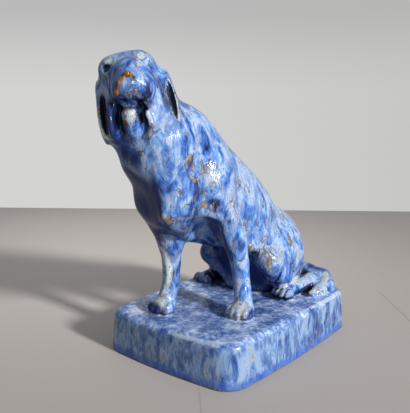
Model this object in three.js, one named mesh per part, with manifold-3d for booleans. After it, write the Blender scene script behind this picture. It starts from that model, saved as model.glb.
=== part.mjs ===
// A sitting hound on a rounded rectangular plinth: a glazed ceramic figurine, cast in one piece.
// Millimetres, +Z up. The dog faces -Y and its left side is +X. The origin is the middle of the
// plinth's flat underside.
import * as THREE from "three";
import { mergeVertices } from "three/addons/utils/BufferGeometryUtils.js";
import Module from "manifold-3d";

// Plinth.
const PLINTH_WIDTH = 113.5;
const PLINTH_LENGTH = 152;
const PLINTH_HEIGHT = 30;
const PLINTH_BOW = 3.6;
const PLINTH_CORNER = 13;
const PLINTH_RIM = 5;
const PLINTH_DRAFT = THREE.MathUtils.degToRad(3.6);
const PLINTH_DISH = 1.8;
const PLINTH_RISE = 0.006;

// Head: the middle of the skull and the way the face looks.
const HEAD_CENTRE = [-22, -79, 186.5];
const HEAD_YAW = 37;
const HEAD_PITCH = 19;
const HEAD_ROLL = 12;
const JOWL_SWING = 0.13;
const EAR_DROP = 37;
const EAR_WIDTH = 24;
const EAR_THICKNESS = 6;

// Body: how steeply the back falls from the withers to the croup.
const CHEST_LEAN = 50;
const LOIN_LEAN = 46;
const NECK_LEAN = 20;

// The front of the chest is flat on the dog's right of a keel.
const KEEL = [4.6, -82.5, 123];
const KEEL_FACING = [-0.2, -0.97, -0.15];

// Feet.
const TOES = 4;
const FORE_TOE_SPACING = 4.6;
const HIND_TOE_SPACING = 4.2;

// Surface: the step of the sampled grid and the number of triangles that the finished skin keeps.
const GRID_STEP = 1.9;
const TRIANGLES = 9400;

// Clay kit: every form is a function of a point that gives the distance to its surface, negative
// inside.
const SIDE = 0;
const FORWARD = 1;
const UP = 2;
const WORLD_AXES = [[1, 0, 0], [0, 1, 0], [0, 0, 1]];

function softMin(a, b, k) {
  const h = Math.max(k - Math.abs(a - b), 0) / k;
  return Math.min(a, b) - h * h * k * 0.25;
}

function blend(k, first, ...others) {
  return (x, y, z) => others.reduce((d, form) => softMin(d, form(x, y, z), k), first(x, y, z));
}

function carve(k, body, ...tools) {
  return (x, y, z) => tools.reduce((d, tool) => -softMin(-d, tool(x, y, z), k), body(x, y, z));
}

function egg(centre, radii, axes = WORLD_AXES) {
  const [cx, cy, cz] = centre;
  const [a, b, c] = axes;
  const [ra, rb, rc] = radii;
  return (x, y, z) => {
    const u = x - cx;
    const v = y - cy;
    const w = z - cz;
    const p = (a[0] * u + a[1] * v + a[2] * w) / ra;
    const q = (b[0] * u + b[1] * v + b[2] * w) / rb;
    const r = (c[0] * u + c[1] * v + c[2] * w) / rc;
    const scaled = Math.hypot(p, q, r);
    const slope = Math.hypot(p / ra, q / rb, r / rc);
    return slope < 1e-9 ? -Math.min(ra, rb, rc) : (scaled * (scaled - 1)) / slope;
  };
}

function limb(from, to, fromRadius, toRadius) {
  const [dx, dy, dz] = to.map((value, i) => value - from[i]);
  const lengthSquared = dx * dx + dy * dy + dz * dz;
  return (x, y, z) => {
    const u = x - from[0];
    const v = y - from[1];
    const w = z - from[2];
    const along = THREE.MathUtils.clamp((u * dx + v * dy + w * dz) / lengthSquared, 0, 1);
    const radius = fromRadius + (toRadius - fromRadius) * along;
    return Math.hypot(u - dx * along, v - dy * along, w - dz * along) - radius;
  };
}

function chain(k, points, radii) {
  const links = points.slice(1).map((point, i) => limb(points[i], point, radii[i], radii[i + 1]));
  return blend(k, ...links);
}

function lean(degrees) {
  const angle = THREE.MathUtils.degToRad(degrees);
  const c = Math.cos(angle);
  const s = Math.sin(angle);
  return [[1, 0, 0], [0, c, -s], [0, s, c]];
}

function leanAside(degrees) {
  const angle = THREE.MathUtils.degToRad(degrees);
  const c = Math.cos(angle);
  const s = Math.sin(angle);
  return [[c, 0, s], [0, 1, 0], [-s, 0, c]];
}

// A flat hanging leaf of clay between its top and its tip, thin towards the side it faces.
function leaf(top, tip, width, thickness) {
  const high = new THREE.Vector3(...top);
  const low = new THREE.Vector3(...tip);
  const along = high.clone().sub(low).normalize();
  const side = new THREE.Vector3(1, 0, 0).addScaledVector(along, -along.x).normalize();
  const across = new THREE.Vector3().crossVectors(along, side);
  const middle = high.clone().add(low).multiplyScalar(0.5);
  const half = high.distanceTo(low) / 2 + thickness / 2;
  const axes = [side.toArray(), across.toArray(), along.toArray()];
  return egg(middle.toArray(), [thickness / 2, width / 2, half], axes);
}

// All the space beyond a plane.
function beyond(point, normal) {
  const [nx, ny, nz] = new THREE.Vector3(...normal).normalize().toArray();
  return (x, y, z) => (point[0] - x) * nx + (point[1] - y) * ny + (point[2] - z) * nz;
}

function both(form) {
  return (x, y, z) => form(Math.abs(x), y, z);
}

// Plinth: bowed sides with draft, a round rim and a slightly dished top.
function plinth(x, y, z) {
  const acrossX = Math.min(Math.abs(x) / (PLINTH_WIDTH / 2), 1.2);
  const acrossY = Math.min(Math.abs(y) / (PLINTH_LENGTH / 2), 1.2);
  const flare = (PLINTH_HEIGHT - z) * Math.tan(PLINTH_DRAFT) - 1;
  const halfX = PLINTH_WIDTH / 2 + PLINTH_BOW * (1 - acrossY * acrossY) - PLINTH_CORNER + flare;
  const halfY = PLINTH_LENGTH / 2 + PLINTH_BOW * (1 - acrossX * acrossX) - PLINTH_CORNER + flare;
  const overX = Math.abs(x) - halfX;
  const overY = Math.abs(y) - halfY;
  const corner = Math.hypot(Math.max(overX, 0), Math.max(overY, 0));
  const side = corner + Math.min(Math.max(overX, overY), 0) - PLINTH_CORNER;
  const dishX = Math.max(1 - (x / (0.46 * PLINTH_WIDTH)) ** 2, 0);
  const dishY = Math.max(1 - (y / (0.46 * PLINTH_LENGTH)) ** 2, 0);
  const top = z - PLINTH_HEIGHT - PLINTH_RISE * (1.2 * x + y) + PLINTH_DISH * dishX * dishY;
  const a = side + PLINTH_RIM;
  const b = top + PLINTH_RIM;
  const rim = Math.hypot(Math.max(a, 0), Math.max(b, 0)) + Math.min(Math.max(a, b), 0);
  return rim - PLINTH_RIM;
}

function trunk() {
  const chest = egg([-5, -38, 122], [25, 53, 36.5], lean(CHEST_LEAN));
  const brisket = egg([-8, -59, 116], [22, 24, 21]);
  const loin = egg([-2, 8, 94], [24, 52, 29], lean(LOIN_LEAN));
  const croup = egg([0, 43, 61], [28, 28, 33]);
  const keeled = carve(3, blend(15, chest, brisket, loin), beyond(KEEL, KEEL_FACING));
  const breastbone = egg([4.2, -75.4, 106], [3, 3.7, 5]);
  return blend(12, blend(6, keeled, breastbone), croup);
}

function neck() {
  const nape = egg([-9, -58, 148], [21, 27, 28], lean(NECK_LEAN));
  const crest = limb([-11, -64, 150], [-20, -77, 173], 20, 16.5);
  const throat = limb([-21, -81, 160], [-16, -77, 142], 14, 14);
  const dewlap = egg([-2, -74, 152], [14, 13, 16]);
  return blend(10, blend(8, nape, crest), throat, dewlap);
}

// The filled mass between the folded hind legs, down to the plinth.
function seat() {
  const rear = egg([-6, 44, 40], [30, 25, 22]);
  const base = egg([-4, 48, 30], [30, 26, 11]);
  const front = egg([-12, 33, 34], [15, 19, 13]);
  return blend(6, blend(8, rear, base), front);
}

// Four round toes in an arc in front of a foot.
function toes(foot, ahead, spacing, radii, height) {
  const aside = [ahead[1], -ahead[0]];
  const forms = [];
  for (let i = 0; i < TOES; i += 1) {
    const offset = i - (TOES - 1) / 2;
    const reach = 4.4 - 1.7 * Math.abs(offset);
    const x = foot[0] + aside[0] * offset * spacing + ahead[0] * reach;
    const y = foot[1] + aside[1] * offset * spacing + ahead[1] * reach;
    forms.push(egg([x, y, height], radii));
  }
  return (x, y, z) => Math.min(...forms.map((form) => form(x, y, z)));
}

function hindLeg(left) {
  const knee = left ? [23, 12, 61] : [-28.5, 11, 58.5];
  const hip = left ? [15, 43, 62] : [-17, 42, 62];
  const hock = left ? [34.5, 58, 36.4] : [-38, 57, 36];
  const foot = left ? [29.5, 26, 34] : [-43, 19, 32.4];
  const thigh = left ? egg([19.5, 36, 58], [14.5, 22.5, 24]) : egg([-20, 32, 57], [15, 25, 26]);
  const shinEnd = left ? [25, 28, 44] : [-36, 28, 42];
  const length = Math.hypot(foot[0] - hock[0], foot[1] - hock[1]);
  const ahead = [(foot[0] - hock[0]) / length, (foot[1] - hock[1]) / length];
  const upper = blend(5, thigh, limb(hip, knee, 15, 9), limb(knee, shinEnd, 9, 7.5));
  const lower = blend(4, upper, limb(hock, foot, 7, 5.2));
  const leg = blend(1.6, lower, toes(foot, ahead, HIND_TOE_SPACING, [3.1, 4.8, 4.2], foot[2] - 0.6));
  if (!left) return leg;
  const flankFold = chain(3, [[15, -2, 72], [17.5, 8, 77], [16, 20, 80]], [4, 5.5, 7]);
  const hamCrease = chain(1, [[24, 28, 39.5], [27.5, 38, 42.5], [30, 51, 45.5]], [1, 1.2, 1]);
  return carve(2, blend(8, leg, flankFold), hamCrease);
}

function foreLeg(left) {
  const foot = left ? [27.5, -27, 34.5] : [-21, -54.5, 34.5];
  const wrist = left ? [22.6, -19.5, 48] : [-20.6, -46.5, 48];
  const shin = left ? [20.6, -20, 65] : [-19.8, -46.5, 64];
  const elbow = left ? [18, -22, 82] : [-19.8, -47, 80];
  const shoulder = left ? [11, -44, 116] : [-19, -58, 110];
  const elbowRadius = left ? 8 : 8.6;
  const heel = [foot[0], foot[1] + 3, foot[2] + 1];
  const shank = chain(1.5, [heel, wrist, shin, elbow], [6.8, 6, 6.5, elbowRadius]);
  const upper = limb(elbow, shoulder, elbowRadius, 16);
  const blade = egg([shoulder[0], shoulder[1] + 3, shoulder[2] + 10], [15, 19, 24]);
  const pad = egg([foot[0], foot[1], foot[2] - 1], [8.8, 8, 6]);
  const leg = blend(3, blend(8, blend(5, shank, upper), blade), pad);
  return blend(1.6, leg, toes(foot, [0, -1], FORE_TOE_SPACING, [3.3, 5.4, 4.8], 33));
}

// The tail curls forward round the left hip and lies on the plinth.
function tail() {
  const root = [[6, 64, 40], [22, 68.5, 37], [37, 69, 36]];
  const end = [[46, 60.5, 34.6], [47, 47, 33], [45.5, 38.5, 31.8]];
  return chain(4, [...root, ...end], [9.5, 8.5, 7, 5.4, 4.2, 3]);
}

// Head in its own axes: side to the dog's left, forward to the nose, up to the crown.
function face() {
  const skull = egg([0, -2, 2.5], [19.5, 21, 18]);
  const cheeks = both(egg([3, -1, -14], [18, 16, 20]));
  const muzzle = egg([2.6, 18, -7], [12.2, 15, 12.2]);
  const rightLip = egg([-3.6, 21.2, -10], [6.6, 9, 7.6]);
  const leftLip = egg([8.4, 20.2, -12], [6.8, 9, 8]);
  const rightBrow = egg([-9.2, 9, 11], [7.8, 7.6, 6.2]);
  const leftBrow = egg([8, 8.6, 11], [7.4, 7.4, 6]);
  const bridge = limb([-0.5, 9, 10.5], [2.2, 22, 0.5], 6.5, 7);
  const dome = blend(8, blend(9, blend(8, skull, cheeks), muzzle), rightBrow, leftBrow);
  const lipped = blend(4, blend(5, dome, bridge), rightLip, leftLip);
  const lids = [egg([-11, 13.8, 11], [4, 3.4, 3.2]), egg([10.6, 13.4, 11.6], [4, 3.2, 3])];
  const socket = egg([-12.4, 16.2, 8], [3.2, 2.6, 2.2]);
  const lidded = carve(1.8, blend(1.6, lipped, ...lids), socket);
  const nosePad = egg([0.6, 29.2, -10], [5.8, 4, 5.4]);
  const rightWing = limb([-6.8, 28.9, -13.4], [1.9, 33.4, -4.4], 1.2, 1.3);
  const leftWing = limb([1.9, 33.4, -4.4], [6, 31, -9.2], 1.3, 1.1);
  const nosed = blend(1.4, blend(2.5, lidded, nosePad), rightWing, leftWing);
  const jowls = both(egg([12, 5, -21], [7.4, 11, 15]));
  const rightFlew = egg([-12.4, 12.5, -23], [3, 8.5, 12.5]);
  const flewRoute = [[9.2, 19.4, -18.4], [10, 17.4, -26], [12, 14, -32], [9.8, 12.4, -36.4]];
  const leftFlew = chain(1.2, flewRoute, [1.2, 1.3, 1.6, 1.4]);
  const leftHollow = egg([6.6, 19.6, -27], [3.8, 9, 9.6]);
  const rightHollow = egg([-7.6, 18, -25], [2.2, 6, 8.5]);
  const chin = limb([-0.8, 10, -30.5], [-0.9, 17.6, -24], 5.6, 5.2);
  const mouthRoute = [[-10.2, 21.4, -16], [-3, 24.8, -20], [3.4, 25, -21.6], [10, 20, -21.8]];
  const mouth = chain(1, mouthRoute, [2.2, 3, 3.1, 2.4]);
  const jowled = blend(3, blend(5, nosed, jowls), rightFlew);
  const hollowed = blend(2, carve(2, jowled, leftHollow, rightHollow), leftFlew);
  return carve(1.6, blend(2, hollowed, chin), mouth);
}

function ears() {
  const left = leaf([22.6, -5, 4], [25.4, 1.5, 4 - EAR_DROP], EAR_WIDTH, EAR_THICKNESS);
  const right = leaf([-20.6, -5, 5], [-22, -1, 6.5 - EAR_DROP], EAR_WIDTH, EAR_THICKNESS);
  const roots = both(egg([17, -4, 0], [5.5, 9, 9]));
  return blend(4, roots, (x, y, z) => Math.min(left(x, y, z), right(x, y, z)));
}

function head() {
  const yaw = THREE.MathUtils.degToRad(HEAD_YAW);
  const pitch = THREE.MathUtils.degToRad(HEAD_PITCH);
  const roll = THREE.MathUtils.degToRad(HEAD_ROLL);
  const turn = new THREE.Matrix4().makeRotationZ(yaw);
  turn.multiply(new THREE.Matrix4().makeRotationX(-pitch));
  turn.multiply(new THREE.Matrix4().makeRotationY(-roll));
  const side = new THREE.Vector3();
  const back = new THREE.Vector3();
  const up = new THREE.Vector3();
  turn.extractBasis(side, back, up);
  const leftSlit = egg([23.6, 10, -17], [1.9, 6.5, 15.5], leanAside(2));
  const rightSlit = egg([-19, 11.5, -18.5], [2, 7.5, 14], leanAside(-3));
  const swung = (form) => (s, f, u) => form(s + JOWL_SWING * Math.max(-10 - u, 0), f, u);
  const form = carve(1.5, blend(5, swung(face()), ears()), leftSlit, rightSlit);
  return (x, y, z) => {
    const u = x - HEAD_CENTRE[SIDE];
    const v = y - HEAD_CENTRE[FORWARD];
    const w = z - HEAD_CENTRE[UP];
    return form(
      side.x * u + side.y * v + side.z * w,
      -(back.x * u + back.y * v + back.z * w),
      up.x * u + up.y * v + up.z * w,
    );
  };
}

function figurine() {
  const body = blend(6, blend(16, trunk(), neck()), head());
  const legs = [hindLeg(true), hindLeg(false), foreLeg(true), foreLeg(false)];
  const pitRoute = [[17, -57, 98], [12.5, -48, 92], [7, -42, 83], [0, -34, 76]];
  const armpit = chain(6, pitRoute, [4, 9, 10, 7]);
  const limbed = carve(4, blend(5, blend(10, body, seat()), ...legs), armpit);
  const dog = blend(5, limbed, tail());
  return blend(3, dog, plinth);
}

// Skin of a form: one vertex in each grid cell that the surface crosses, and a square across each
// grid edge that it crosses.
function skin(form, low, high, step) {
  const count = low.map((value, i) => Math.ceil((high[i] - value) / step) + 1);
  const [nx, ny, nz] = count;
  const at = (i, j, k) => (i * ny + j) * nz + k;
  const value = new Float32Array(nx * ny * nz);
  for (let i = 0; i < nx; i += 1) {
    for (let j = 0; j < ny; j += 1) {
      for (let k = 0; k < nz; k += 1) {
        value[at(i, j, k)] = form(low[0] + i * step, low[1] + j * step, low[2] + k * step);
      }
    }
  }
  fillPinches(value, at, count);
  const cellVertex = new Int32Array(nx * ny * nz).fill(-1);
  const points = [];
  for (let i = 0; i < nx - 1; i += 1) {
    for (let j = 0; j < ny - 1; j += 1) {
      for (let k = 0; k < nz - 1; k += 1) {
        const crossing = cellCrossing(value, at, i, j, k);
        if (crossing) {
          cellVertex[at(i, j, k)] = points.length;
          points.push(crossing.map((c, axis) => low[axis] + c * step));
        }
      }
    }
  }
  return { points, faces: squares(value, cellVertex, at, count) };
}

// Where clay meets clay across a corner of the grid alone, the surface would be pinched: the point
// between is filled in, until none is left.
function fillPinches(value, at, count) {
  const [nx, ny, nz] = count;
  const filled = -0.05;
  let changed = true;
  while (changed) {
    changed = false;
    for (let i = 0; i < nx - 1; i += 1) {
      for (let j = 0; j < ny - 1; j += 1) {
        for (let k = 0; k < nz - 1; k += 1) {
          const corners = [];
          for (let n = 0; n < 8; n += 1) corners.push(at(i + (n & 1), j + ((n >> 1) & 1), k + (n >> 2)));
          const inside = corners.map((c) => value[c] < 0);
          const pinch = pinchedCorner(inside);
          if (pinch >= 0) {
            value[corners[pinch]] = filled;
            changed = true;
          }
        }
      }
    }
  }
}

// The corner of a cell to fill, or -1: a face with clay at two opposite corners alone, or a cell with
// clay or air at two opposite corners alone.
function pinchedCorner(inside) {
  const full = inside.filter(Boolean).length;
  if (full === 0 || full === 8) return -1;
  for (const [p, q] of [[1, 2], [1, 4], [2, 4]]) {
    for (let n = 0; n < 8; n += 1) {
      if ((n & (p | q)) === 0) {
        const level = inside[n] === inside[n + p + q] && inside[n + p] === inside[n + q];
        if (level && inside[n] !== inside[n + p]) return inside[n] ? n + p : n;
      }
    }
  }
  if (full === 2 || full === 6) {
    for (let n = 0; n < 4; n += 1) {
      if (inside[n] === inside[7 - n] && inside[n] === (full === 2)) return full === 2 ? n ^ 1 : n;
    }
  }
  return -1;
}

function cellCrossing(value, at, i, j, k) {
  const sum = [0, 0, 0];
  let hits = 0;
  for (let axis = 0; axis < 3; axis += 1) {
    for (let corner = 0; corner < 4; corner += 1) {
      const start = [i, j, k];
      start[(axis + 1) % 3] += corner & 1;
      start[(axis + 2) % 3] += corner >> 1;
      const end = start.slice();
      end[axis] += 1;
      const a = value[at(...start)];
      const b = value[at(...end)];
      if (a < 0 !== b < 0) {
        start[axis] += a / (a - b);
        start.forEach((c, n) => {
          sum[n] += c;
        });
        hits += 1;
      }
    }
  }
  return hits > 0 ? sum.map((c) => c / hits) : null;
}

function squares(value, cellVertex, at, count) {
  const faces = [];
  for (let i = 1; i < count[0] - 1; i += 1) {
    for (let j = 1; j < count[1] - 1; j += 1) {
      for (let k = 1; k < count[2] - 1; k += 1) {
        for (let axis = 0; axis < 3; axis += 1) {
          const cell = [i, j, k];
          const next = cell.slice();
          next[axis] += 1;
          const inside = value[at(...cell)] < 0;
          if (inside !== value[at(...next)] < 0) {
            const ring = [[0, 0], [1, 0], [1, 1], [0, 1]].map(([p, q]) => {
              const corner = cell.slice();
              corner[(axis + 1) % 3] -= p;
              corner[(axis + 2) % 3] -= q;
              return cellVertex[at(...corner)];
            });
            if (!inside) ring.reverse();
            faces.push([ring[0], ring[1], ring[2]], [ring[0], ring[2], ring[3]]);
          }
        }
      }
    }
  }
  return faces;
}

// Thinning: the edge whose loss moves the surface least is folded to one point, again and again,
// until the wanted number of triangles is left. Flat stretches lose most.
class EdgeQueue {
  constructor() {
    this.items = [];
  }

  push(item) {
    const { items } = this;
    items.push(item);
    let child = items.length - 1;
    while (child > 0) {
      const parent = (child - 1) >> 1;
      if (items[parent].cost <= items[child].cost) break;
      [items[parent], items[child]] = [items[child], items[parent]];
      child = parent;
    }
  }

  pop() {
    const { items } = this;
    const first = items[0];
    const last = items.pop();
    if (items.length > 0) {
      items[0] = last;
      let parent = 0;
      for (;;) {
        const left = 2 * parent + 1;
        const right = left + 1;
        let least = parent;
        if (left < items.length && items[left].cost < items[least].cost) least = left;
        if (right < items.length && items[right].cost < items[least].cost) least = right;
        if (least === parent) break;
        [items[parent], items[least]] = [items[least], items[parent]];
        parent = least;
      }
    }
    return first;
  }
}

function normalOf(a, b, c) {
  const u = [b[0] - a[0], b[1] - a[1], b[2] - a[2]];
  const v = [c[0] - a[0], c[1] - a[1], c[2] - a[2]];
  return [u[1] * v[2] - u[2] * v[1], u[2] * v[0] - u[0] * v[2], u[0] * v[1] - u[1] * v[0]];
}

function planeErrors(points, faces) {
  const errors = points.map(() => new Float64Array(10));
  for (const face of faces) {
    const [a, b, c] = face.map((i) => points[i]);
    const normal = normalOf(a, b, c);
    const length = Math.hypot(...normal) || 1;
    const [nx, ny, nz] = normal.map((n) => n / length);
    const d = -(nx * a[0] + ny * a[1] + nz * a[2]);
    const terms = [nx * nx, nx * ny, nx * nz, nx * d, ny * ny, ny * nz, ny * d, nz * nz, nz * d, d * d];
    for (const i of face) {
      terms.forEach((term, n) => {
        errors[i][n] += term * length;
      });
    }
  }
  return errors;
}

function errorAt(q, [x, y, z]) {
  return q[0] * x * x + 2 * q[1] * x * y + 2 * q[2] * x * z + 2 * q[3] * x
    + q[4] * y * y + 2 * q[5] * y * z + 2 * q[6] * y + q[7] * z * z + 2 * q[8] * z + q[9];
}

function bestPoint(q, a, b) {
  const matrix = new THREE.Matrix3().set(q[0], q[1], q[2], q[1], q[4], q[5], q[2], q[5], q[7]);
  const middle = a.map((value, i) => (value + b[i]) / 2);
  const candidates = [a, b, middle];
  const size = q[0] + q[4] + q[7];
  if (Math.abs(matrix.determinant()) > 1e-4 * size ** 3) {
    const solved = new THREE.Vector3(-q[3], -q[6], -q[8]).applyMatrix3(matrix.invert()).toArray();
    const reach = Math.hypot(...a.map((value, i) => value - b[i]));
    if (Math.hypot(...solved.map((value, i) => value - middle[i])) < reach) candidates.push(solved);
  }
  return candidates.reduce((best, point) => (errorAt(q, point) < errorAt(q, best) ? point : best));
}

function thin({ points, faces }, wanted) {
  const errors = planeErrors(points, faces);
  const facesAt = points.map(() => new Set());
  faces.forEach((face, f) => face.forEach((i) => facesAt[i].add(f)));
  const stamp = new Int32Array(points.length);
  const queue = new EdgeQueue();
  const neighbours = (i) => {
    const found = new Set();
    for (const f of facesAt[i]) faces[f].forEach((j) => found.add(j));
    found.delete(i);
    return found;
  };
  const offer = (i, j) => {
    const q = errors[i].map((value, n) => value + errors[j][n]);
    const point = bestPoint(q, points[i], points[j]);
    const length = Math.hypot(...points[i].map((value, n) => value - points[j][n]));
    queue.push({ cost: errorAt(q, point) + 1e-4 * length, i, j, point, q, si: stamp[i], sj: stamp[j] });
  };
  const turnsOver = (i, other, point) => {
    for (const f of facesAt[i]) {
      const face = faces[f];
      if (!face.includes(other)) {
        const before = normalOf(...face.map((n) => points[n]));
        const after = normalOf(...face.map((n) => (n === i ? point : points[n])));
        const sizes = Math.hypot(...before) * Math.hypot(...after);
        const agree = before[0] * after[0] + before[1] * after[1] + before[2] * after[2];
        if (agree < 0.35 * sizes || Math.hypot(...after) < 0.02) return true;
      }
    }
    return false;
  };
  points.forEach((_, i) => {
    for (const j of neighbours(i)) if (j > i) offer(i, j);
  });
  let left = faces.length;
  while (left > wanted && queue.items.length > 0) {
    const { i, j, point, q, si, sj } = queue.pop();
    if (stamp[i] !== si || stamp[j] !== sj) continue;
    const ringJ = neighbours(j);
    const shared = [...neighbours(i)].filter((n) => ringJ.has(n));
    if (shared.length !== 2 || turnsOver(i, j, point) || turnsOver(j, i, point)) continue;
    points[i] = point;
    errors[i] = q;
    for (const f of [...facesAt[j]]) {
      if (faces[f].includes(i)) {
        faces[f].forEach((n) => facesAt[n].delete(f));
        faces[f] = null;
        left -= 1;
      } else {
        faces[f] = faces[f].map((n) => (n === j ? i : n));
        facesAt[i].add(f);
      }
    }
    facesAt[j].clear();
    stamp[i] += 1;
    stamp[j] += 1;
    for (const n of neighbours(i)) offer(i, n);
  }
  return { points, faces: faces.filter(Boolean) };
}

// The outer shell alone: a pocket that the clay closes in all round is filled.
function outerShell({ points, faces }) {
  const parent = points.map((_, i) => i);
  const root = (i) => {
    let top = i;
    while (parent[top] !== top) top = parent[top];
    parent[i] = top;
    return top;
  };
  for (const [a, b, c] of faces) {
    parent[root(b)] = root(a);
    parent[root(c)] = root(a);
  }
  const size = new Map();
  for (const [a] of faces) size.set(root(a), (size.get(root(a)) ?? 0) + 1);
  const [largest] = [...size].reduce((best, entry) => (entry[1] > best[1] ? entry : best));
  return { points, faces: faces.filter(([a]) => root(a) === largest) };
}

// Solids of the joining library from a bare surface or from a three.js geometry.
const wasm = await Module();
wasm.setup();

function solidOf(points, faces) {
  const order = new Map();
  const kept = [];
  const triVerts = new Uint32Array(faces.flat().map((i) => {
    if (!order.has(i)) {
      order.set(i, order.size);
      kept.push(...points[i]);
    }
    return order.get(i);
  }));
  const vertProperties = new Float32Array(kept);
  return new wasm.Manifold(new wasm.Mesh({ numProp: 3, vertProperties, triVerts }));
}

function solidOfGeometry(geometry) {
  const bare = geometry.clone();
  bare.deleteAttribute("normal");
  bare.deleteAttribute("uv");
  const merged = mergeVertices(bare);
  const vertProperties = new Float32Array(merged.attributes.position.array);
  const triVerts = new Uint32Array(merged.index.array);
  return new wasm.Manifold(new wasm.Mesh({ numProp: 3, vertProperties, triVerts }));
}

function geometryOf(solid) {
  const mesh = solid.getMesh();
  const geometry = new THREE.BufferGeometry();
  geometry.setAttribute("position", new THREE.BufferAttribute(new Float32Array(mesh.vertProperties), 3));
  geometry.setIndex(new THREE.BufferAttribute(new Uint32Array(mesh.triVerts), 1));
  geometry.computeVertexNormals();
  return geometry;
}

// The clay runs on a little below the underside and is then cut off flat there.
function castInOne() {
  const spare = 5;
  const form = figurine();
  const ended = (x, y, z) => Math.max(form(x, y, z), -z - spare);
  const low = [-68, -122, -spare - 2 * GRID_STEP];
  const high = [68, 90, 214];
  const { points, faces } = thin(outerShell(skin(ended, low, high, GRID_STEP)), TRIANGLES);
  const below = new THREE.BoxGeometry(300, 400, 40);
  below.translate(0, 0, -20);
  return geometryOf(solidOf(points, faces).subtract(solidOfGeometry(below)));
}

const glaze = new THREE.MeshStandardMaterial({ color: 0x4a6fc4, roughness: 0.16, metalness: 0 });

function figurineMesh() {
  const mesh = new THREE.Mesh(castInOne(), glaze);
  mesh.name = "hound_on_plinth";
  return mesh;
}

const group = new THREE.Group();
group.add(figurineMesh());

export default group;
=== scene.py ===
import math

import bpy
import numpy as np
from mathutils import Matrix


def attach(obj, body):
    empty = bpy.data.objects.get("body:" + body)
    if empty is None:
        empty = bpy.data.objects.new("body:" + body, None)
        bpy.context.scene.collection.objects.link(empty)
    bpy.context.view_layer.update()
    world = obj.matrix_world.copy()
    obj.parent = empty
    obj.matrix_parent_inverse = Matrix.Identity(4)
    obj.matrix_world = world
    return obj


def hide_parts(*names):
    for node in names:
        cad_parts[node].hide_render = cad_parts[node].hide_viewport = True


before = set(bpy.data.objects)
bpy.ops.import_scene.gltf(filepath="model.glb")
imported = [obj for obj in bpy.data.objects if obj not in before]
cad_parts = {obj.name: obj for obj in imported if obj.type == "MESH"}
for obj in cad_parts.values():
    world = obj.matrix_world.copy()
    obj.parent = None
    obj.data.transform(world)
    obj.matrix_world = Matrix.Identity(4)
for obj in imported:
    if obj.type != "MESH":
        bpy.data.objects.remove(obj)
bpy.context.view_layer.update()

# The figurine is one slip-cast piece of pale earthenware: a sitting hound, its tail and the plinth
# under it. Each form of the clay is a function of points, in millimetres, that gives the distance
# to its surface, negative inside, and the forms are pressed together with soft joins.
SIDE, FORWARD, UP = 0, 1, 2
WORLD_AXES = ((1, 0, 0), (0, 1, 0), (0, 0, 1))


def soft_min(a, b, k):
    h = np.maximum(k - np.abs(a - b), 0) / k
    return np.minimum(a, b) - h * h * k * 0.25


def blend(k, first, *others):
    def form(p):
        d = first(p)
        for other in others:
            d = soft_min(d, other(p), k)
        return d
    return form


def carve(k, body, *tools):
    def form(p):
        d = body(p)
        for tool in tools:
            d = -soft_min(-d, tool(p), k)
        return d
    return form


def egg(centre, radii, axes=WORLD_AXES):
    centre, radii, axes = np.array(centre, float), np.array(radii, float), np.array(axes, float)

    def form(p):
        q = (p - centre) @ axes.T / radii
        scaled = np.linalg.norm(q, axis=1)
        slope = np.maximum(np.linalg.norm(q / radii, axis=1), 1e-9)
        return np.where(slope > 1e-8, scaled * (scaled - 1) / slope, -radii.min())
    return form


def limb(start, end, start_radius, end_radius):
    start = np.array(start, float)
    run = np.array(end, float) - start

    def form(p):
        q = p - start
        along = np.clip(q @ run / (run @ run), 0, 1)
        radius = start_radius + (end_radius - start_radius) * along
        return np.linalg.norm(q - along[:, None] * run, axis=1) - radius
    return form


def chain(k, points, radii):
    links = [limb(points[i], points[i + 1], radii[i], radii[i + 1]) for i in range(len(points) - 1)]
    return blend(k, *links)


def beyond(point, normal):
    facing = np.array(normal, float) / np.linalg.norm(normal)
    return lambda p: (np.array(point, float) - p) @ facing


def both(form):
    return lambda p: form(np.column_stack([np.abs(p[:, SIDE]), p[:, FORWARD:]]))


def lean(degrees):
    c, s = math.cos(math.radians(degrees)), math.sin(math.radians(degrees))
    return ((1, 0, 0), (0, c, -s), (0, s, c))


# The plinth: a low block with bowed sides that draw in a little upwards, round corners, a soft rim
# and a slightly dished top, pressed in the same mould as the dog.
PLINTH_WIDTH, PLINTH_LENGTH, PLINTH_HEIGHT = 113.5, 152, 30
PLINTH_BOW, PLINTH_CORNER, PLINTH_RIM = 3.6, 13, 5
PLINTH_DRAFT = math.radians(3.6)
PLINTH_DISH, PLINTH_DISH_REACH = 1.8, 0.46
PLINTH_RISE, PLINTH_RISE_ASIDE = 0.006, 1.2
PLINTH_BOW_END = 1.2


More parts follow.
